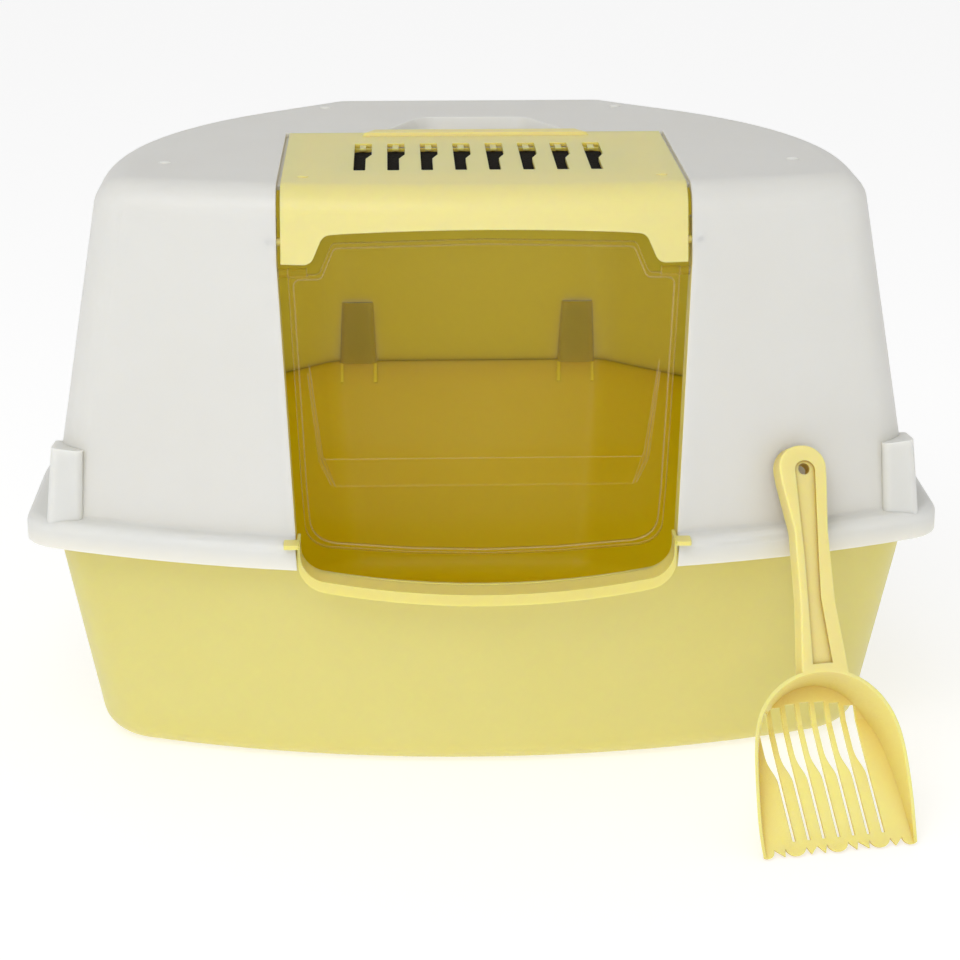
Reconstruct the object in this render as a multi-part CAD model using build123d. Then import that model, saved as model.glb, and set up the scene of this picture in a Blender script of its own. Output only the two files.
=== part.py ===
from build123d import *
import os
from math import radians, sqrt, tan

os.makedirs("parts", exist_ok=True)

# Corner litter box with a hood. X to the right, Y to the back, Z up.
# The origin is the centre of the tray's underside. All sizes are in millimetres.

# ---------------------------------------------------------------- driving dimensions
wall = 2.5                    # moulded wall thickness
height = 366.0                # top of the hood's roof
rim_z = 161.0                 # top of the tray's rim, where the hood's flange rests
flange_low = 147.0            # lower edge of the flange's skirt
flange_top = 163.5            # upper side of the flange
flange_rounding = 6.5         # rounding of the flange's shoulder
flange_cove = 2.5             # hollow rounding between the flange and the hood's wall
diagonal = 42.0               # angle of the two rear diagonal walls, degrees from X
roof_rounding = 20.0          # rounding between the hood's walls and its roof
foot_rounding = 20.0          # rounding between the tray's walls and its underside

door_half_sill = 114.5        # half width of the door at the flange
door_half_top = 123.8         # half width of the door from the ears upward
ear_z = 321.5                 # lower end of the visor's ears
visor_back = 20.0             # rear edge of the visor's seat
seat_gap = 0.5                # free play behind and under the visor
visor_half = 121.3            # half width of the visor, leaving a gap beside it
visor_edge_z = 342.5          # lower edge of the visor over the middle of the door
visor_axis = (-161.5, 333.5)  # Y and Z of the visor's pivot
flap_axis = (-160.0, 314.0)   # Y and Z of the flap's pivot
pin_radius = 2.5
bearing_play = 0.05           # radial play of the pins in their holes

slot_count = 8
slot_pitch = 20.8
slot_wide = 11.0
slot_narrow = 7.3
slot_front = -109.0
slot_back = -20.0

pad_low, pad_high = 352.5, 362.5
pad_half, pad_front, pad_back = 88.0, -118.0, -24.0
cradle_wall = 2.4             # wall and free play round the pad

flap_low = 135.4              # lower edge of the flap
flap_thick = 1.8
bead_height = 0.8             # the flap's edge bead stands this far off the sheet
bead_width = 3.2

sill_z = 133.3                # inner edge of the sill at the middle of the door
sill_radius = 700.0           # the sill dips in a flat arc
sill_drop = 7.0               # height of the sill's rolled nose
sill_corner = 16.0            # rounding where the sill turns up to the flange
housing_x = 81.0              # centre of each rear clip housing
housing_height = 209.0        # top of the clip housings

scoop_lean = 0.56             # backward run of the leaning scoop for each unit of height
scoop_turn = (0.981, 0.195)   # direction of the scoop's width, seen from above
scoop_foot = (201.6, -309.6)  # where the middle of the scoop's tips stands
scoop_wall = 2.0
scoop_deep = 24.0             # depth of the bowl at its back
scoop_slots = 7
scoop_pitch = 9.2
handle_thick = 10.0
groove_deep = 1.8             # depth of the channel down the handle

# Plan outlines: half width, front line, front radius, back line, half width of the flat back,
# and the rounding of the front, side and back corners.
tray_foot = (243.0, -173.5, 625.0, 174.0, 88.0, 46.0, 260.0, 30.0)
tray_rim = (266.0, -217.0, 636.0, 207.0, 101.0, 28.0, 280.0, 22.0)
hood_foot = (266.0, -217.0, 636.0, 207.0, 101.0, 28.0, 280.0, 22.0)
hood_roof = (233.0, -168.0, 850.0, 158.0, 95.0, 27.0, 260.0, 24.0)
flange = (282.0, -230.0, 650.0, 220.5, 106.0, 32.0, 294.0, 32.0)


# ---------------------------------------------------------------- outlines and plain forms
def blend(low, high, share):
    """Outline values between two outlines."""
    return tuple(a + (b - a) * share for a, b in zip(low, high))


def inset(outline, distance):
    """Outline moved inwards by a distance, square to each of its walls."""
    half, front, radius, back, back_half, *corners = outline
    return (half - distance, front + distance, radius - distance, back - distance,
            back_half - distance * tan(radians(diagonal / 2)), *[c - distance for c in corners])


def plan(z, outline):
    """Closed face of an outline at height z: bulging front, short sides, two diagonals, flat back."""
    half, front, radius, back, back_half, front_corner, side_corner, back_corner = outline
    y_side = front + radius - sqrt(radius**2 - half**2)
    y_diag = back - (half - back_half) * tan(radians(diagonal))
    bulge = ThreePointArc((-half, y_side), (0, front), (half, y_side))
    rest = Polyline((half, y_side), (half, y_diag), (back_half, back),
                    (-back_half, back), (-half, y_diag), (-half, y_side))
    sketch = make_face([*bulge.edges(), *rest.edges()])
    roundings = ((half, y_side, front_corner), (back_half, back, back_corner), (half, y_diag, side_corner))
    for x, y, radius_here in roundings:
        corners = [v for v in sketch.vertices() if abs(v.Y - y) < 0.01 and abs(abs(v.X) - x) < 0.01]
        sketch = fillet(corners, radius_here)
    return Pos(0, 0, z) * sketch


def column(outline, z_low, z_high):
    """Upright solid over an outline."""
    return extrude(plan(z_low, outline), z_high - z_low)


def drafted(low, high, z_low, z_high, distance, rounding, at_top, start=None):
    """Solid between two outlines, moved inwards by a distance, with its closed end rounded."""
    bottom = z_low if at_top else z_low + distance
    top = z_high - distance if at_top else z_high
    if start is not None:
        bottom = start
    share_low = (bottom - z_low) / (z_high - z_low)
    share_high = (top - z_low) / (z_high - z_low)
    sections = [plan(bottom, inset(blend(low, high, share_low), distance)),
                plan(top, inset(blend(low, high, share_high), distance))]
    body = loft(sections, ruled=True)
    end = body.edges().group_by(Axis.Z)[-1 if at_top else 0]
    return fillet(end, rounding - distance)


def hood_solid(distance, start=rim_z):
    """The hood's outer form, moved inwards by a distance."""
    return drafted(hood_foot, hood_roof, rim_z, height, distance, roof_rounding, True, start)


def tray_solid(distance):
    """The tray's outer form, moved inwards by a distance."""
    return drafted(tray_foot, tray_rim, 0.0, rim_z, distance, foot_rounding, False)


def slab(x0, x1, y0, y1, z0, z1):
    """Block between two corners."""
    return Pos((x0 + x1) / 2, (y0 + y1) / 2, (z0 + z1) / 2) * Box(x1 - x0, y1 - y0, z1 - z0)


def both_sides(shape):
    """A shape and its mirror image across the middle of the box."""
    return shape + mirror(shape, about=Plane.YZ)


def polygon(*points):
    """Face inside straight edges."""
    return make_face(Polyline(*points, close=True))


def front_prism(face, y_front, y_back):
    """A face drawn in X and Z, carried from y_front back to y_back."""
    return Pos(0, y_back, 0) * extrude(Plane.XZ * face, amount=y_back - y_front)


def door_prism(grow, y_front, y_back, z_low=100.0, z_high=420.0):
    """The door way, seen from the front, widened by grow on each side."""
    slope = (door_half_top - door_half_sill) / (ear_z - flange_top)
    low = door_half_sill - slope * (flange_top - z_low) + grow
    top = door_half_top + grow
    face = polygon((-low, z_low), (low, z_low), (top, ear_z), (top, z_high), (-top, z_high), (-top, ear_z))
    return front_prism(face, y_front, y_back)


def cross_pin(axis, x_from, x_to, radius):
    """Round pin along X at an axis given as Y and Z."""
    y, z = axis
    return Pos((x_from + x_to) / 2, y, z) * Rot(0, 90, 0) * Cylinder(radius, x_to - x_from)


def bump(x, y, radius, flat):
    """Shallow oval bump on the roof."""
    return Pos(x, y, height) * scale(Sphere(radius), (1, 0.7, flat))


# ---------------------------------------------------------------- clip housings
def rear_housing(grow, z_low):
    """Box on the back wall that a tray tongue snaps into, grown by the wall on all sides."""
    foot = RectangleRounded(22 + 2 * grow, 11 + 2 * grow, 2 + grow)
    top = RectangleRounded(18 + 2 * grow, 16 + 2 * grow, 2 + grow)
    top_z = housing_height - wall + grow
    return loft([Pos(housing_x, 204.5, z_low) * foot, Pos(housing_x, 200.5, top_z) * top], ruled=True)


def corner_housing(grow, z_low):
    """Box on the front corner that a tray tongue snaps into, grown by the wall on all sides."""
    foot = RectangleRounded(17 + 2 * grow, 31 + 2 * grow, 2 + grow)
    top = RectangleRounded(14 + 2 * grow, 28 + 2 * grow, 2 + grow)
    top_z = housing_height - wall + grow
    return loft([Pos(256.5, -153.5, z_low) * foot, Pos(253.5, -150.5, top_z) * top], ruled=True)


def sloped_cap(x, y, lean_x, lean_y, grow):
    """Everything above a housing's sloping lid."""
    lid = Pos(x, y, housing_height - 5 + grow) * Rot(lean_y, lean_x, 0)
    return lid * Pos(0, 0, 30) * Box(90, 90, 60)


# ---------------------------------------------------------------- tray
def sill_region(drop):
    """Everything above the sill's line, seen from the front: a flat dip with ends that turn up."""
    end_x = door_half_sill - 3.0 + min(drop, wall) * 0.72
    rise = sill_radius - sqrt(sill_radius**2 - end_x**2)
    dip = ThreePointArc((-end_x, sill_z + rise - drop), (0, sill_z - drop), (end_x, sill_z + rise - drop))
    rest = Polyline((end_x, sill_z + rise - drop), (end_x, 200), (-end_x, 200), (-end_x, sill_z + rise - drop))
    face = make_face([*dip.edges(), *rest.edges()])
    corners = face.vertices().sort_by(Axis.Y)[:2]
    return fillet(corners, sill_corner + min(drop, wall))


def make_tray():
    """Tray with its turned-down rim, the dipped entry sill, and the tongues that hold the hood."""
    edge = inset(flange, wall + 1.0)
    rim = column(edge, rim_z - 8, rim_z)
    rim = fillet(rim.edges().group_by(Axis.Z)[-1], flange_rounding - wall - 0.5)
    rim -= column(inset(edge, 2.0), rim_z - 8, rim_z - wall)
    body = tray_solid(0) + rim
    body -= tray_solid(wall) + column(inset(tray_rim, wall), rim_z - 0.5, rim_z + 1.5)

    entry = front_prism(sill_region(0), -260, -150)
    body -= entry
    nose_front = column(inset(flange, 0.8), 110, rim_z + 3)
    nose_hollow = column(inset(flange, 0.8 + wall), 100, 180)
    wall_line = column(inset(tray_rim, wall + 3.0), 100, 180)
    top_band = front_prism(sill_region(wall), -260, -150) - entry
    nose_band = front_prism(sill_region(sill_drop), -260, -150) - entry
    body += (top_band & nose_front) - wall_line - tray_solid(wall)
    nose = (nose_band & nose_front) - nose_hollow
    body += nose

    tab = slab(door_half_sill - 2.4, door_half_sill + 6.5, -225.4, -214, flange_top - 1.6, flange_top + 0.9)
    body += both_sides(fillet(tab.edges().filter_by(Axis.Z), 1.0))
    tongue = slab(housing_x - 10, housing_x + 10, 204.3, 206.8, rim_z - 6, rim_z + 5)
    corner_tab = slab(250.5, 262.5, -161.5, -159.0, rim_z - wall, rim_z + 8)
    body += both_sides(tongue + corner_tab)
    inner_skin = tray_solid(1.1)
    for groove_x in (housing_x - 12.5, housing_x + 12.5):
        groove = slab(groove_x - 1.25, groove_x + 1.25, 185, 215, rim_z - 16, rim_z + 1) & inner_skin
        body -= both_sides(groove)
    return body


# ---------------------------------------------------------------- hood
def finger_recess(grow, floor):
    """Scooped recess behind the visor, grown on all sides down to a floor."""
    low = polygon((-60 - grow, 10 - grow), (60 + grow, 10 - grow), (31 + grow, 66 + grow), (-31 - grow, 66 + grow))
    top = polygon((-67 - grow, 10 - grow), (67 + grow, 10 - grow), (36 + grow, 77 + grow), (-36 - grow, 77 + grow))
    low = fillet(low.vertices().group_by(Axis.Y)[-1], 12 + grow)
    top = fillet(top.vertices().group_by(Axis.Y)[-1], 14 + grow)
    return loft([Pos(0, 0, floor) * low, Pos(0, 0, height) * top], ruled=True)


def make_hood():
    """Hood shell with its flange, door, visor seat, finger recess and clip housings."""
    outer = hood_solid(0)
    skirt = column(flange, flange_low, flange_top)
    skirt = fillet(skirt.edges().group_by(Axis.Z)[-1], flange_rounding)
    body = outer + skirt
    cove = [e for e in new_edges(outer, skirt, combined=body) if e.bounding_box().min.Z > flange_top - 0.01]
    body = fillet(cove, flange_cove)
    inside = column(inset(flange, wall), flange_low, rim_z)
    body -= fillet(inside.edges().group_by(Axis.Z)[-1], flange_rounding - wall)
    body -= hood_solid(wall)

    # door, folded edge round the visor's seat, cheeks beside the door, seat behind
    opening = door_prism(0, -300, visor_back)
    body -= opening
    body += (outer - hood_solid(5.6)) & (door_prism(wall, -300, visor_back + wall, 300) - opening)
    cheek_zone = door_prism(wall, -300, -120, flange_top - wall, 345) - opening
    body += (outer - hood_solid(17.0)) & cheek_zone
    seat = (hood_solid(wall + seat_gap) - hood_solid(5.6)) & slab(-126, 126, -140, visor_back + 1, 300, 380)
    body += seat - slab(-112, 112, -150, visor_back - 8, 300, 380)

    recess_depth = 16
    bowl = finger_recess(wall, height - recess_depth - wall)
    body += bowl - slab(-130, 130, -20, visor_back, height - wall - seat_gap, 400)
    body -= finger_recess(0, height - recess_depth)

    for housing, lid in ((rear_housing, (housing_x, 206, 0, -12)), (corner_housing, (256, -160, -8, -8))):
        body += both_sides(housing(wall, rim_z) - sloped_cap(*lid, wall))
        body -= both_sides(housing(0, rim_z - 1) - sloped_cap(*lid, 0))

    # seats for the tray's tabs, pin holes, stacking bumps
    body -= both_sides(slab(door_half_sill - 5, door_half_sill + 6.9, -225.8, -213.6, flange_top - 1.7, 175))
    for axis in (visor_axis, flap_axis):
        body -= both_sides(cross_pin(axis, 120, 130, pin_radius + bearing_play))
    for x, y in ((195, -81), (100, 115)):
        body += both_sides(bump(x, y, 4, 0.35))
    return body


# ---------------------------------------------------------------- visor
def visor_profile():
    """The visor seen from the front: an arched lower edge between two deeper ears."""
    side = visor_half
    arch = ThreePointArc((-86, 339.6), (0, visor_edge_z), (86, 339.6))
    right = FilletPolyline((86, 339.6), (96, 338.6), (103.5, ear_z), (side, ear_z), radius=7.0)
    left = mirror(right, about=Plane.YZ)
    top = Polyline((side, ear_z), (side, 420), (-side, 420), (-side, ear_z))
    return make_face([*arch.edges(), *right.edges(), *left.edges(), *top.edges()])


def vent_slot(x):
    """Stepped slot: wide behind, narrower in front, with one straight side."""
    step = (slot_back + slot_front) / 2
    left = x - slot_wide / 2
    face = polygon((left, slot_front), (left + slot_narrow, slot_front), (left + slot_narrow, step - 7),
                   (left + slot_wide, step + 7), (left + slot_wide, slot_back), (left, slot_back))
    face = fillet(face.vertices(), 1.2)
    return Pos(0, 0, height - 10) * extrude(face, 20)


def make_visor():
    """Vent cover that folds over the door's upper edge and turns on two side pins."""
    reach = front_prism(visor_profile(), -300, visor_back - seat_gap)
    body = (hood_solid(0, 250) - hood_solid(wall, 240)) & reach
    slots = [(i - (slot_count - 1) / 2) * slot_pitch for i in range(slot_count)]
    for x in slots:
        body -= vent_slot(x)
    for x in slots:
        body += slab(x - 2.2, x + 1.8, slot_back - 13, slot_back + 0.5, height - wall, height - 1.0)
    lip = extrude(polygon((-74, -8), (74, -8), (66, 6), (-66, 6)), 2.2, taper=25)
    body += Pos(0, 13.5, height) * lip + both_sides(bump(108.5, -128, 3.4, 0.3))

    y, z = visor_axis
    outer_x = visor_half
    lug = cross_pin(visor_axis, 117.0, outer_x, 6.5) + slab(117.0, outer_x, -168, y, z - 5, z + 5)
    pin = cross_pin(visor_axis, 118, door_half_top + 2.6, pin_radius)
    body += both_sides((lug & hood_solid(0.4, 250)) + pin)
    # hooks that hold the filter cradle
    for y in (-40, -90):
        hook = slab(95.2, 97.2, y - 6, y + 6, 350.5, height - wall) + slab(92.2, 97.2, y - 6, y + 6, 348.7, 350.5)
        body += both_sides(hook)
    return body


# ---------------------------------------------------------------- filter
def make_filter_pad():
    """Block of carbon foam under the vent slots."""
    return slab(-pad_half, pad_half, pad_front, pad_back, pad_low, pad_high)


def make_filter_cradle():
    """Barred frame that holds the pad up against the visor."""
    half, front, back = pad_half + cradle_wall, pad_front - cradle_wall, pad_back + cradle_wall
    body = slab(-half, half, front, back, pad_low - 2, height - wall - 0.2)
    body -= slab(-pad_half - 0.2, pad_half + 0.2, pad_front - 0.2, pad_back + 0.2, pad_low, height)
    bays = 8
    bay = 2 * pad_half / bays
    for i in range(bays):
        x0 = -pad_half + i * bay + 1.5
        for y0, y1 in ((pad_front + 4, -73), (-69, pad_back - 4)):
            body -= slab(x0, x0 + bay - 3, y0, y1, pad_low - 5, pad_low + 1)
    rim = slab(-half - 2.6, half + 2.6, front, back, pad_low - 2, pad_low)
    return body + (rim - slab(-half + 1, half - 1, front - 1, back + 1, pad_low - 5, pad_low + 5))


# ---------------------------------------------------------------- flap
def flap_profile(shrink):
    """The flap seen from the front: notched shoulders, slightly tapering sides, bowed lower edge."""
    top = 334.2 - shrink
    shoulder = 313.2 - shrink
    low = flap_low + shrink
    notch = 0.4 * shrink
    right = FilletPolyline((0, top), (91 - notch, top - 2), (99 - notch, shoulder), (117.6 - shrink, shoulder),
                           (112.0 - shrink, 178), (109.8 - shrink, low + 9.5), (96 - shrink, low + 5.2),
                           (45, low + 1.3), (0, low), radius=(4.0, 4.0, 4.0, 4.0, 15.0, 8.0, 30.0))
    left = mirror(right, about=Plane.YZ)
    return make_face([*right.edges(), *left.edges()])


def wedge(grow):
    """The window pressed into the flap: no depth at its upper edge, deepest above its lower ledge."""
    y = flap_axis[0] - flap_thick / 2
    side = polygon((y - 6, 262 + grow), (y, 260 + grow), (y + 12 + grow, 194 - grow * 0.3),
                   (y, 180 - grow), (y - 6, 180 - grow))
    block = Pos(-115, 0, 0) * extrude(Plane.YZ * side, 230)
    face = polygon((-106.5 - grow, 262 + grow), (106.5 + grow, 262 + grow), (99 + grow, 196),
                   (90 + grow, 178 - grow), (-90 - grow, 178 - grow), (-99 - grow, 196))
    return block & front_prism(face, y - 60, y + 60)


def make_flap():
    """Clear swing flap with an edge bead, a pressed window and two side pins."""
    front = flap_axis[0] - flap_thick / 2
    back = front + flap_thick
    plate = front_prism(flap_profile(0), front, back)
    bead = front_prism(flap_profile(0), front - bead_height, back + bead_height)
    bead -= front_prism(flap_profile(bead_width), front - 5, back + 5)
    body = plate + bead + (wedge(flap_thick) & slab(-120, 120, front, front + 40, 0, 400))
    body -= wedge(0)
    barrel = cross_pin(flap_axis, 106, 117.5, 3.0)
    return body + both_sides(barrel + cross_pin(flap_axis, 110, door_half_top + 2.2, pin_radius))


# ---------------------------------------------------------------- scoop
def scoop_face(across, along, z):
    """The scoop's rim seen from its front, scaled across and along, at a depth."""
    rim = ((-45.8, 0), (-46.4, 18), (-44.9, 42), (-42.6, 64), (-36, 86), (-22, 100.5), (-2, 107.5),
           (16, 106.3), (31, 98.8), (42, 86.5), (48.6, 70), (50.7, 50), (50.6, 25), (49, 0))
    middle = 2.0
    points = [(middle + (x - middle) * across, y * along) for x, y in rim]
    (left, _), (right, _) = points[0], points[-1]
    arch = Spline(*points)
    foot = Polyline((right, 0), (right, -8), (left, -8), (left, 0))
    return Pos(0, 0, z) * make_face([*arch.edges(), *foot.edges()])


def scoop_bowl(distance):
    """The scoop's bowl, moved inwards by a distance: shallow at the tips, deep at the back."""
    across = 1 - distance / 47
    along = 1 - distance / 108
    solid = loft([scoop_face(across, along, 0), scoop_face(across * 0.78, along * 0.93, -30)], ruled=True)
    depth = polygon((-10, 10), (-10, distance - 2.0), (0, distance - 2.2), (78, distance - scoop_deep),
                    (94, distance - scoop_deep), (130, distance - scoop_deep), (130, 10))
    return solid & (Pos(-80, 0, 0) * extrude(Plane.YZ * depth, 160))


def scoop_slot(right, top):
    """Slot with a straight right side and a left side that steps in to half way down."""
    left_side = Spline((right - 6.1, 62), (right - 4.4, 53), (right - 1.5, 43), tangents=((0, -1), (0, -1)))
    rest = Polyline((right - 1.5, 43), (right - 0.7, 9), (right + 1.3, 9), (right, 62), (right, top),
                    (right - 6.3, top), (right - 6.1, 62))
    return make_face([*left_side.edges(), *rest.edges()])


def scoop_tips():
    """Everything below the scoop's tips: broad rounds with small pointed teeth between them."""
    valley = 5.2
    rounds = ((-47, -38.4), (-31.4, -18.5), (-5.8, 7.3), (20.4, 33.3), (40.7, 51))
    teeth = (((-38.4, -32.3, -31.4),), ((-18.5, -16, -11.7), (-11.7, -7.5, -5.8)),
             ((7.3, 12, 13.2), (13.2, 19.6, 20.4)), ((33.3, 36.2, 40.7),), ())
    edges = []
    for (start, end), points in zip(rounds, teeth):
        edges += ThreePointArc((start, valley), ((start + end) / 2, 0.3), (end, valley)).edges()
        for left, peak, right in points:
            edges += Polyline((left, valley), (peak, 0.6), (right, valley)).edges()
    edges += Polyline((51, valley), (60, valley), (60, -20), (-60, -20), (-60, valley), (-47, valley)).edges()
    return Pos(0, 0, -60) * extrude(make_face(edges), 80)


def make_scoop():
    """Slotted scoop, drawn flat with its handle along Y, then leant against the hood's flange."""
    grip = polygon((23.0, 101), (20.2, 148), (21.8, 190), (25.6, 222), (27.4, 244), (-5.8, 244), (-4.6, 222),
                   (-0.7, 192), (-3.2, 148), (-8.8, 101))
    ends = grip.vertices().sort_by(Axis.Y)
    grip = fillet(ends[-2:], 14.5)
    grip = fillet(grip.vertices().sort_by(Axis.Y)[2:-4], 30.0)
    handle = Pos(0, 0, -handle_thick) * extrude(grip, handle_thick, dir=(0, 0, 1), taper=5)
    handle = fillet(handle.edges().group_by(Axis.Z)[-1], 1.2)
    body = scoop_bowl(0) + handle - scoop_bowl(scoop_wall)
    for i in range(scoop_slots):
        top = 91 - 0.45 * (i - 3) ** 2
        opening = scoop_slot(2.2 + (i - 3) * scoop_pitch, top)
        body -= Pos(0, 0, -60) * extrude(opening, 58)
    body -= scoop_tips()

    hole = Pos(11.7, 229) * Circle(3.5)
    channel = polygon((12.5, 111), (10.8, 150), (12.8, 174), (17.9, 226), (5.5, 226), (4.0, 174), (2.6, 150), (0.1, 111))
    channel += Pos(11.7, 227.5) * Circle(6.4)
    body -= Pos(0, 0, -groove_deep) * extrude(channel, 5, dir=(0, 0, 1))
    body -= Pos(0, 0, -12) * extrude(hole, 14, dir=(0, 0, 1))

    run = sqrt(1 + scoop_lean**2)
    turn_x, turn_y = scoop_turn
    across = Vector(turn_x, turn_y, 0)
    up = Vector(-turn_y * scoop_lean / run, turn_x * scoop_lean / run, 1 / run)
    stand = Plane(origin=(*scoop_foot, 0), x_dir=across, z_dir=across.cross(up))
    placed = stand.location * body
    return Pos(0, 0, -placed.bounding_box().min.Z) * placed


pieces = {
    "tray": make_tray,
    "hood": make_hood,
    "visor": make_visor,
    "filter_pad": make_filter_pad,
    "filter_cradle": make_filter_cradle,
    "flap": make_flap,
    "scoop": make_scoop,
}
for name, make in pieces.items():
    shape = make()
    print(name, len(shape.solids()), "solids", round(shape.volume), "mm3", shape.bounding_box())
    export_step(shape, f"parts/{name}.step")
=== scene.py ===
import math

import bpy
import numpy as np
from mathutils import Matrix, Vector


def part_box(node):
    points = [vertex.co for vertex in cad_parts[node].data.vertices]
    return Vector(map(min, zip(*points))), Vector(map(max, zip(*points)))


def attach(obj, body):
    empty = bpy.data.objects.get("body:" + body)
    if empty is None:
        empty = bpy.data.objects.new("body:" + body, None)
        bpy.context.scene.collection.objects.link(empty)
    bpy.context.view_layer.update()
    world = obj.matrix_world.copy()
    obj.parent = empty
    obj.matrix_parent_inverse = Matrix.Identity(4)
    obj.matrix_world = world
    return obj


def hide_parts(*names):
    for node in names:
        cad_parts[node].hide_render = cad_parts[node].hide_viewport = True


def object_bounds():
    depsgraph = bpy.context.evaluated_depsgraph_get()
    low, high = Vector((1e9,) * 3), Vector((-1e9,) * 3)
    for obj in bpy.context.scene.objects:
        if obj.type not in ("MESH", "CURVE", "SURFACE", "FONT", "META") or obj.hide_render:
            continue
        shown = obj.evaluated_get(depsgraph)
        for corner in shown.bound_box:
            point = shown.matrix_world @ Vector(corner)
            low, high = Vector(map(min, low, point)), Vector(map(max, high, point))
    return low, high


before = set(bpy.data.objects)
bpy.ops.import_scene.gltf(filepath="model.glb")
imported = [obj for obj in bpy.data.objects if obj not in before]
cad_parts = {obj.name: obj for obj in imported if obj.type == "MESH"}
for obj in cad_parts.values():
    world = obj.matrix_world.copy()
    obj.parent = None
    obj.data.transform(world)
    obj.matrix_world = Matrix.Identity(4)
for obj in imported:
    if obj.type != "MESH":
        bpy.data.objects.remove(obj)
cad_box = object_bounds()

# %% [markdown]
# # A corner litter box with a hood
#
# The real thing is a handful of polypropylene mouldings: a deep yellow tray with a bulging front,
# a white hood that snaps onto its rim, a yellow vent cover over a black carbon pad, a clear
# swinging flap, and a scoop. The mouldings come from the CAD frame, in the right place and size, and
# get their plastics here. The one piece that CAD draws too plainly, the foam pad, is made again as
# a surface.

MM = 0.001
print("nodes:", sorted(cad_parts))

# %% [markdown]
# ## Camera and light
#
# A long lens from the front, a little left of the middle and above the roof, looking down about
# 18 degrees. A short lens close by would also frame the box, but it would flare the front corners,
# and product pictures like this one are taken from further away.

# %% Camera
LOOK_DOWN, LOOK_RIGHT = 17.68, 1.93  # degrees
scene = bpy.context.scene
camera_data = bpy.data.cameras.new("camera")
camera_data.lens = 99.2
camera_data.sensor_width = 36.0
camera_data.shift_y = -0.0015
camera_data.clip_end = 50.0
camera = bpy.data.objects.new("camera", camera_data)
camera.location = (-0.0547, -1.7052, 0.6770)
camera.rotation_euler = (math.radians(90 - LOOK_DOWN), 0.0, math.radians(-LOOK_RIGHT))
scene.collection.objects.link(camera)
scene.camera = camera
scene.view_settings.view_transform = "Standard"
print("camera lens", camera_data.lens, "mm")

# %% [markdown]
# The light is a bright white room with one large soft box in front, above the camera and a little
# to its left. The walls that face it come out brighter than the roof, as they do under a real
# shop-window light. A top lamp alone would do the opposite.


# %% Colours and nodes
def linear(hex_code):
    """An sRGB colour like 'e2d88f' as linear red, green, blue and alpha."""
    srgb = np.array([int(hex_code[i:i + 2], 16) for i in (0, 2, 4)]) / 255
    rgb = np.where(srgb <= 0.04045, srgb / 12.92, ((srgb + 0.055) / 1.055) ** 2.4)
    return (*rgb.tolist(), 1.0)


def add(tree, kind, settings=None, **inputs):
    """Adds a node. Each input is a value, or the output socket of another node to link.
    An input is named by its label, with _ for a space, or as i0, i1 and so on by its place in the list."""
    made = tree.nodes.new(kind)
    for name, value in (settings or {}).items():
        setattr(made, name, value)
    for name, value in inputs.items():
        by_place = name[0] == "i" and name[1:].isdigit()
        socket = made.inputs[int(name[1:]) if by_place else name.replace("_", " ")]
        if isinstance(value, bpy.types.NodeSocket):
            tree.links.new(value, socket)
        else:
            socket.default_value = value
    return made


# %% Studio
def studio_world(strength):
    """An even white room."""
    world = bpy.data.worlds.new("white_room")
    world.use_nodes = True
    background = world.node_tree.nodes["Background"]
    background.inputs["Color"].default_value = (1.0, 1.0, 1.0, 1.0)
    background.inputs["Strength"].default_value = strength
    scene.world = world


def soft_box(name, place, aim, width, height, watts):
    """A rectangular lamp at a place, turned to face a point."""
    lamp = bpy.data.lights.new(name, "AREA")
    lamp.shape = "RECTANGLE"
    lamp.size, lamp.size_y = width, height
    lamp.energy = watts
    holder = bpy.data.objects.new(name, lamp)
    holder.location = place
    away = np.array(place) - np.array(aim)
    pitch = math.atan2(math.hypot(away[0], away[1]), away[2])
    holder.rotation_euler = (pitch, 0.0, math.atan2(away[1], away[0]) + math.pi / 2)
    scene.collection.objects.link(holder)


studio_world(0.56)
soft_box("key_soft_box", (-0.8, -2.0, 2.5), (0.0, 0.0, 0.2), 2.0, 1.6, 35.0)
soft_box("low_fill", (-0.2, -3.0, 0.75), (0.0, 0.0, 0.2), 1.6, 0.8, 10.0)


# %% [markdown]
# The floor is a lit white table, the kind that small goods are photographed on. It glows a little
# by itself, so it stays white and sends light up under the flange.

# %% Floor
TABLE_HALF = 9.0        # metres, so that its edge stays out of view
TABLE_GAP = 0.4 * MM    # keeps table and tray from lying in one plane


def lit_table():
    """A wide white plane just under the tray."""
    low = cad_box[0][2] - TABLE_GAP
    corners = [(x * TABLE_HALF, y * TABLE_HALF, low) for x, y in ((-1, -1), (1, -1), (1, 1), (-1, 1))]
    mesh = bpy.data.meshes.new("table")
    mesh.from_pydata(corners, [], [(0, 1, 2, 3)])
    table = bpy.data.objects.new("table", mesh)
    scene.collection.objects.link(table)
    material = bpy.data.materials.new("lit_white_acrylic_table")
    material.use_nodes = True
    shader = material.node_tree.nodes["Principled BSDF"]
    shader.inputs["Base Color"].default_value = linear("bcbcbc")
    shader.inputs["Roughness"].default_value = 0.6
    shader.inputs["Emission Color"].default_value = (1.0, 1.0, 1.0, 1.0)
    shader.inputs["Emission Strength"].default_value = 0.6
    mesh.materials.append(material)


lit_table()

# %% [markdown]
# ## Moulded polypropylene
#
# Tray, hood, vent cover and scoop are polypropylene, injected into a satin-etched mould. It is a
# slightly waxy plastic: light goes a few millimetres into it, the gloss is broad and soft, and the
# etched skin shows as a very fine grain. A plain diffuse shader would look like chalk, and a hard
# gloss would look like ABS.


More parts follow.
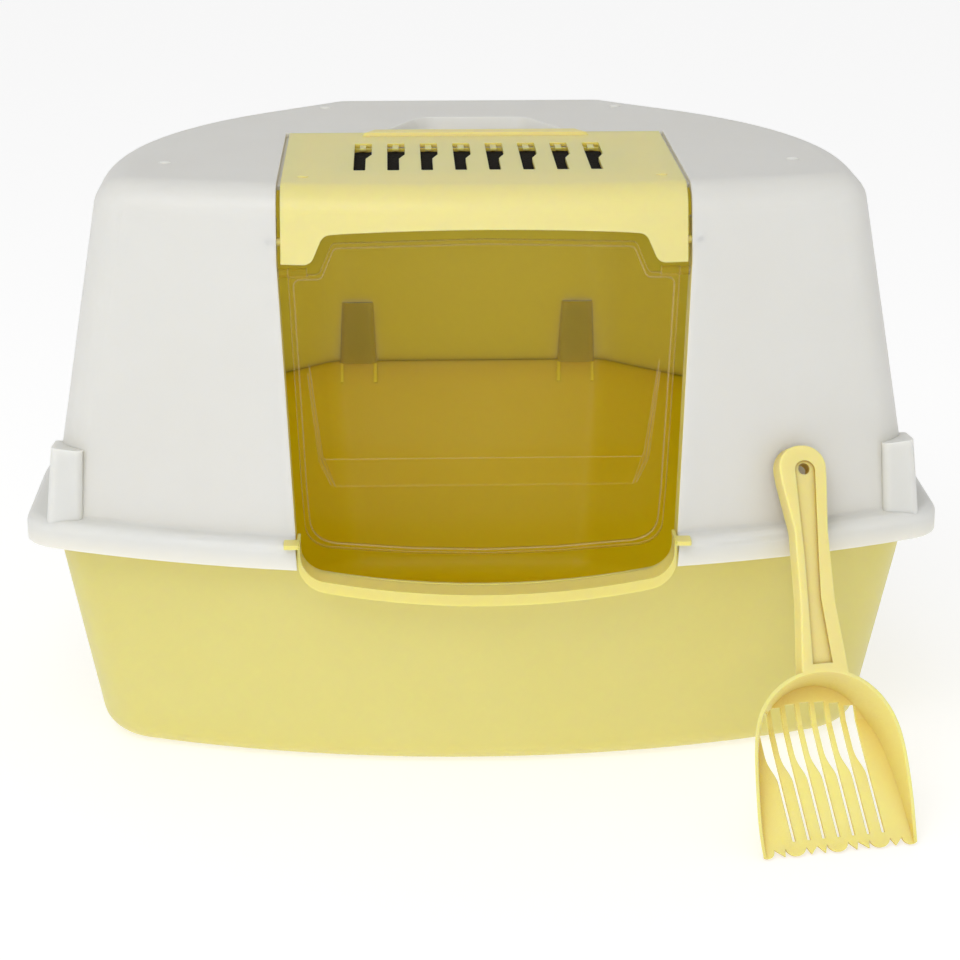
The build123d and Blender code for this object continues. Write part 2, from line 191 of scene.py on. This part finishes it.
# %% Which faces are enclosed
def enclosed(tree, where, centre, half_width, front, ceiling):
    """1 on faces that look at the middle of their piece, else 0: (place - middle) . normal is below 0 there.
    Only places with |x| < half_width, y > front and z < ceiling count. All limits fade over 1 to 8 mm."""
    normal = add(tree, "ShaderNodeTexCoord").outputs["Normal"]
    from_centre = add(tree, "ShaderNodeVectorMath", {"operation": "SUBTRACT"},
                      i0=where, i1=centre).outputs["Vector"]
    outwards = add(tree, "ShaderNodeVectorMath", {"operation": "DOT_PRODUCT"},
                   i0=from_centre, i1=normal).outputs["Value"]
    faces_in = add(tree, "ShaderNodeMapRange", Value=outwards,
                   From_Min=0.004, From_Max=-0.004).outputs["Result"]
    place = add(tree, "ShaderNodeSeparateXYZ", Vector=where)
    aside = add(tree, "ShaderNodeMath", {"operation": "ABSOLUTE"}, i0=place.outputs["X"]).outputs["Value"]
    narrow = add(tree, "ShaderNodeMapRange", Value=aside, From_Min=half_width, From_Max=half_width - 0.002)
    behind = add(tree, "ShaderNodeMapRange", Value=place.outputs["Y"], From_Min=front, From_Max=front + 0.002)
    below = add(tree, "ShaderNodeMapRange", Value=place.outputs["Z"],
                From_Min=ceiling, From_Max=ceiling - 0.001)
    for limit in (narrow, behind, below):
        faces_in = add(tree, "ShaderNodeMath", {"operation": "MULTIPLY"},
                       i0=faces_in, i1=limit.outputs["Result"]).outputs["Value"]
    return faces_in


# %% Polypropylene
def polypropylene(name, colour, flow_mark, reach, painted_bounce=None, middle=(0.0, 0.0, 0.1), half_width=1.0,
                  front=-1.0, ceiling=1.0, corner_shade="d8c04c", corner_shade_share=0.85, corner_shade_from=0.9):
    """Satin polypropylene with flow marks, painted bounce light on enclosed faces, painted shade in corners and
    hollows, rubbed gloss and etched grain.
    reach is how far red, green and blue go into the plastic, relative to each other."""
    material = bpy.data.materials.new(name)
    material.use_nodes = True
    tree = material.node_tree
    shader = tree.nodes["Principled BSDF"]
    where = add(tree, "ShaderNodeTexCoord").outputs["Object"]
    # flow marks about 70 mm long, left where the melt ran through the mould
    flow = add(tree, "ShaderNodeTexNoise", Vector=where, Scale=14.0, Detail=2.0, Roughness=0.5).outputs["Fac"]
    body = add(tree, "ShaderNodeMix", {"data_type": "RGBA"},
               i0=flow, i6=linear(colour), i7=linear(flow_mark)).outputs[2]
    # painted bounce light: faces that look at the middle of the piece get a stronger, purer colour
    if painted_bounce:
        inside = enclosed(tree, where, middle, half_width, front, ceiling)
        body = add(tree, "ShaderNodeMix", {"data_type": "RGBA"},
                   i0=inside, i6=body, i7=linear(painted_bounce)).outputs[2]
    # painted shade: hollows and corners get a darker, stronger colour, which stands in for light going from
    # wall to wall
    open_sky = add(tree, "ShaderNodeAmbientOcclusion", {"samples": 3}, Distance=30 * MM).outputs["AO"]
    painted_corner_shade = add(tree, "ShaderNodeMapRange", Value=open_sky, From_Min=0.15, From_Max=corner_shade_from,
                To_Min=corner_shade_share, To_Max=0.0)
    body = add(tree, "ShaderNodeMix", {"data_type": "RGBA"},
               i0=painted_corner_shade.outputs["Result"], i6=body, i7=linear(corner_shade)).outputs[2]
    # handling rubs about 25 mm across change only the gloss
    rubs = add(tree, "ShaderNodeTexNoise", Vector=where, Scale=40.0, Detail=4.0, Roughness=0.6).outputs["Fac"]
    gloss = add(tree, "ShaderNodeMapRange", Value=rubs, To_Min=0.37, To_Max=0.48).outputs["Result"]
    # the etched grain is about 0.15 mm and is drawn at 0.8 mm, so that it can be seen
    grain = add(tree, "ShaderNodeTexNoise", Vector=where, Scale=1250.0, Detail=1.0).outputs["Fac"]
    # moulded edges are never sharp: about 0.6 mm of rounding
    edge = add(tree, "ShaderNodeBevel", {"samples": 2}, Radius=0.6 * MM).outputs["Normal"]
    skin = add(tree, "ShaderNodeBump", Height=grain, Normal=edge,
               Strength=0.12, Distance=0.05 * MM).outputs["Normal"]
    for socket, value in (("Base Color", body), ("Roughness", gloss), ("Normal", skin)):
        tree.links.new(value, shader.inputs[socket])
    shader.inputs["IOR"].default_value = 1.49
    shader.inputs["Subsurface Weight"].default_value = 1.0
    shader.inputs["Subsurface Radius"].default_value = reach
    shader.inputs["Subsurface Scale"].default_value = 6.0 * MM
    return material


def paint(node, material):
    """Gives every slot of a CAD node one material."""
    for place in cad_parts[node].material_slots:
        place.material = material
    print(node, "->", material.name)


# %% [markdown]
# ## The tray's yellow
#
# The tray is a soft straw yellow. Inside it, light goes back and forth between yellow walls, which
# makes the colour much stronger than outside. A renderer does part of this by itself. The rest is
# painted into the material as bounce light: faces that look at the middle of the tray get a purer
# yellow. A second material on a second object would need the moulding cut in two, which it isn't.
#
# The painted bounce light stops 200 mm in front of the middle, to spare the sill. With the hood off,
# that limit shows inside the front wall as a crescent of paler yellow, and the rest of the inside looks
# too strong, because it was matched in the shade of the hood.

# %% Tray
warm_light = (1.0, 0.85, 0.2)
# fbe020 is painted yellow bounce light on the faces inside the tray
tray_yellow = polypropylene("tray_yellow_polypropylene", "e0d584", "dcd17e", warm_light, painted_bounce="fbe020",
                            front=-0.2, corner_shade_share=0.12)
paint("tray", tray_yellow)

# %% [markdown]
# ## The hood's white
#
# The hood is a warm off-white. Its inside sees mostly the yellow tray, so yellow bounce light is
# painted onto its inward faces, but not onto the clip housings at the corners or the finger recess in
# the roof. The rule isn't perfect: outside on the back wall, the sides of the two rear clip housings
# that look at the middle catch the painted bounce light as well.

# %% Hood
# f8e478 is yellow light from the tray painted on the hood's inward faces; dcdad0 is painted shade in corners
white = polypropylene("satin_white_polypropylene", "e1e1dc", "dddcd6", (1.0, 0.95, 0.85), painted_bounce="f8e478",
                      middle=(0.0, 0.0, 0.12), half_width=0.236, ceiling=0.347, corner_shade="dcdad0")
paint("hood", white)

# %% [markdown]
# ## The pale yellow of the loose parts
#
# The vent cover, the cradle behind it and the scoop come from a lighter batch than the tray. The
# scoop's bowl is narrow and deep, so it gets stronger painted shade in its corners.

# %% Vent cover, cradle and scoop
# the vent cover and cradle get the default painted shade d8c04c in corners and hollows
pale_yellow = polypropylene("pale_yellow_polypropylene", "ecdd96", "e9da8f", warm_light)
# b89408 is painted shade in the hollow of the scoop's bowl
scoop_yellow = polypropylene("scoop_yellow_polypropylene", "ebdf97", "e8dc90", warm_light,
                             corner_shade="b89408", corner_shade_share=1.0, corner_shade_from=1.0)
paint("visor", pale_yellow)
paint("filter_cradle", pale_yellow)
paint("scoop", scoop_yellow)


# %% [markdown]
# ## Carbon pad
#
# Behind the vent slots lies a pad of reticulated foam soaked in active carbon: black, open-celled,
# and soft enough that its edges are never straight. Cloth under pressure could swell a box into
# such a pad, but the pad is only 10 mm thick and sits in a frame, so a formula is enough: a rounded
# block whose broad faces bulge a little and whose skin is uneven.

# %% Pad shape
def stretch(value, power):
    """sign(value) |value|^power: pushes values between -1 and 1 towards the two ends."""
    return np.sign(value) * np.abs(value) ** power


def foam_pad(name, low, high, columns=240, rows=60):
    """Rounded block: each direction of a ball is stretched to a box, with power 0.16 in X and Y and 0.35
    in Z, times half the size. Sine waves then move each point in by 0 to 0.3 mm. The points bunch up
    near the edges, so the waves show there, and the middle of a broad face is only slightly uneven."""
    low, high = np.array(low), np.array(high)
    centre, half = (low + high) / 2, (high - low) / 2
    around = np.linspace(0, 2 * np.pi, columns, endpoint=False)
    up = np.linspace(-np.pi / 2, np.pi / 2, rows)[1:-1]
    turn, rise = np.meshgrid(around, up)
    ring = stretch(np.cos(rise), 0.16)
    x = ring * stretch(np.cos(turn), 0.16)
    y = ring * stretch(np.sin(turn), 0.16)
    z = stretch(np.sin(rise), 0.35)
    points = np.stack([x, y, z], axis=-1).reshape(-1, 3)
    points = np.vstack([points, [[0, 0, -1], [0, 0, 1]]]) * half
    dent = 0.15 * (2 + np.sin(points[:, 0] / 0.0037) * np.sin(points[:, 1] / 0.0031 + 0.7)
                   + np.sin((points[:, 0] + points[:, 1]) / 0.0015)) / 2
    shrink = 1 - dent[:, None] * MM / half
    points = centre + points * shrink
    row, column = np.meshgrid(np.arange(rows - 3), np.arange(columns), indexing="ij")
    here, beside = row * columns + column, row * columns + (column + 1) % columns
    quads = np.stack([here, beside, beside + columns, here + columns], axis=-1).reshape(-1, 4)
    # a fan of triangles closes each pole, turned so that it faces out
    ends = np.arange(columns)
    after = (ends + 1) % columns
    last = (rows - 3) * columns
    bottom, top = np.full(columns, len(points) - 2), np.full(columns, len(points) - 1)
    caps = np.vstack([np.stack([after, ends, bottom], axis=-1),
                      np.stack([ends + last, after + last, top], axis=-1)])
    mesh = bpy.data.meshes.new(name)
    mesh.from_pydata(points.tolist(), [], quads.tolist() + caps.tolist())
    mesh.shade_smooth()
    pad = bpy.data.objects.new(name, mesh)
    scene.collection.objects.link(pad)
    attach(pad, "visor")
    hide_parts("filter_pad")
    print(name, "measures", np.round(np.ptp(points, axis=0) / MM, 1), "mm with", len(quads), "faces")
    return pad


pad = foam_pad("carbon_foam_pad", *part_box("filter_pad"))


# %% Pad material
def carbon_foam():
    """Open-celled foam, black from carbon: cells 1.6 mm across with dull walls and painted shade in the
    hollows.
    """
    material = bpy.data.materials.new("carbon_filled_foam")
    material.use_nodes = True
    tree = material.node_tree
    shader = tree.nodes["Principled BSDF"]
    where = add(tree, "ShaderNodeTexCoord").outputs["Object"]
    cells = add(tree, "ShaderNodeTexVoronoi", Vector=where, Scale=620.0).outputs["Distance"]
    walls = add(tree, "ShaderNodeMapRange", Value=cells, From_Min=0.1, From_Max=0.7).outputs["Result"]
    # painted shade: the hollows of the cells get the darker black
    shade = add(tree, "ShaderNodeMix", {"data_type": "RGBA"},
                i0=walls, i6=linear("040302"), i7=linear("130f09"))
    pores = add(tree, "ShaderNodeBump", Height=walls, Strength=0.8, Distance=0.6 * MM)
    tree.links.new(shade.outputs[2], shader.inputs["Base Color"])
    tree.links.new(pores.outputs["Normal"], shader.inputs["Normal"])
    shader.inputs["Roughness"].default_value = 0.95
    shader.inputs["Specular IOR Level"].default_value = 0.2
    return material


pad.data.materials.append(carbon_foam())

# %% [markdown]
# ## Clear flap
#
# The flap is clear polystyrene, moulded 1.8 mm thick with a bead round its edge. A real sheet is
# seen only by its edges, where rounded corners catch the light, by a faint haze over what is
# behind it, and by reflections at a glancing angle. Full refraction through the thin sheet costs
# many light paths and exports badly, so the sheet is a mostly open film with painted light: it closes
# up with a painted reflection at glancing angles and with a painted highlight along every rounded edge.
#
# The film's haze and painted reflection are tinted with the yellow of the walls behind the closed flap.
# That is a weakness: a real clear sheet is neutral, but this one looks amber when it swings out in
# front of something white.


# %% Clear plastic
def clear_styrene():
    """Clear polystyrene as a film. Its cover is a faint haze plus a painted reflection that grows at glancing
    angles, plus painted highlights along edges, where rounding them by 1.4 mm would turn the normal."""
    material = bpy.data.materials.new("clear_polystyrene")
    material.use_nodes = True
    tree = material.node_tree
    shader = tree.nodes["Principled BSDF"]
    facing = add(tree, "ShaderNodeLayerWeight", Blend=0.35).outputs["Facing"]
    haze_and_painted_reflection = add(tree, "ShaderNodeMapRange", Value=facing, To_Min=0.03, To_Max=0.5).outputs["Result"]
    rounded = add(tree, "ShaderNodeBevel", {"samples": 6}, Radius=1.4 * MM).outputs["Normal"]
    flat = add(tree, "ShaderNodeNewGeometry").outputs["True Normal"]
    same = add(tree, "ShaderNodeVectorMath", {"operation": "DOT_PRODUCT"}, i0=rounded, i1=flat).outputs["Value"]
    painted_glint = add(tree, "ShaderNodeMapRange", Value=same, From_Min=0.985, From_Max=0.75,
                To_Min=0.0, To_Max=0.45).outputs["Result"]
    cover = add(tree, "ShaderNodeMath", {"operation": "ADD", "use_clamp": True},
                i0=haze_and_painted_reflection, i1=painted_glint).outputs["Value"]
    # the haze and painted reflection are tinted with the yellow of the walls behind the closed flap, the
    # painted edge highlights are nearly white
    colour = add(tree, "ShaderNodeMix", {"data_type": "RGBA"},
                 i0=painted_glint, i6=linear("d8a820"), i7=linear("fffbe8"))
    tree.links.new(colour.outputs[2], shader.inputs["Base Color"])
    tree.links.new(cover, shader.inputs["Alpha"])
    tree.links.new(rounded, shader.inputs["Normal"])
    shader.inputs["Roughness"].default_value = 0.14
    shader.inputs["IOR"].default_value = 1.59
    return material


paint("flap", clear_styrene())
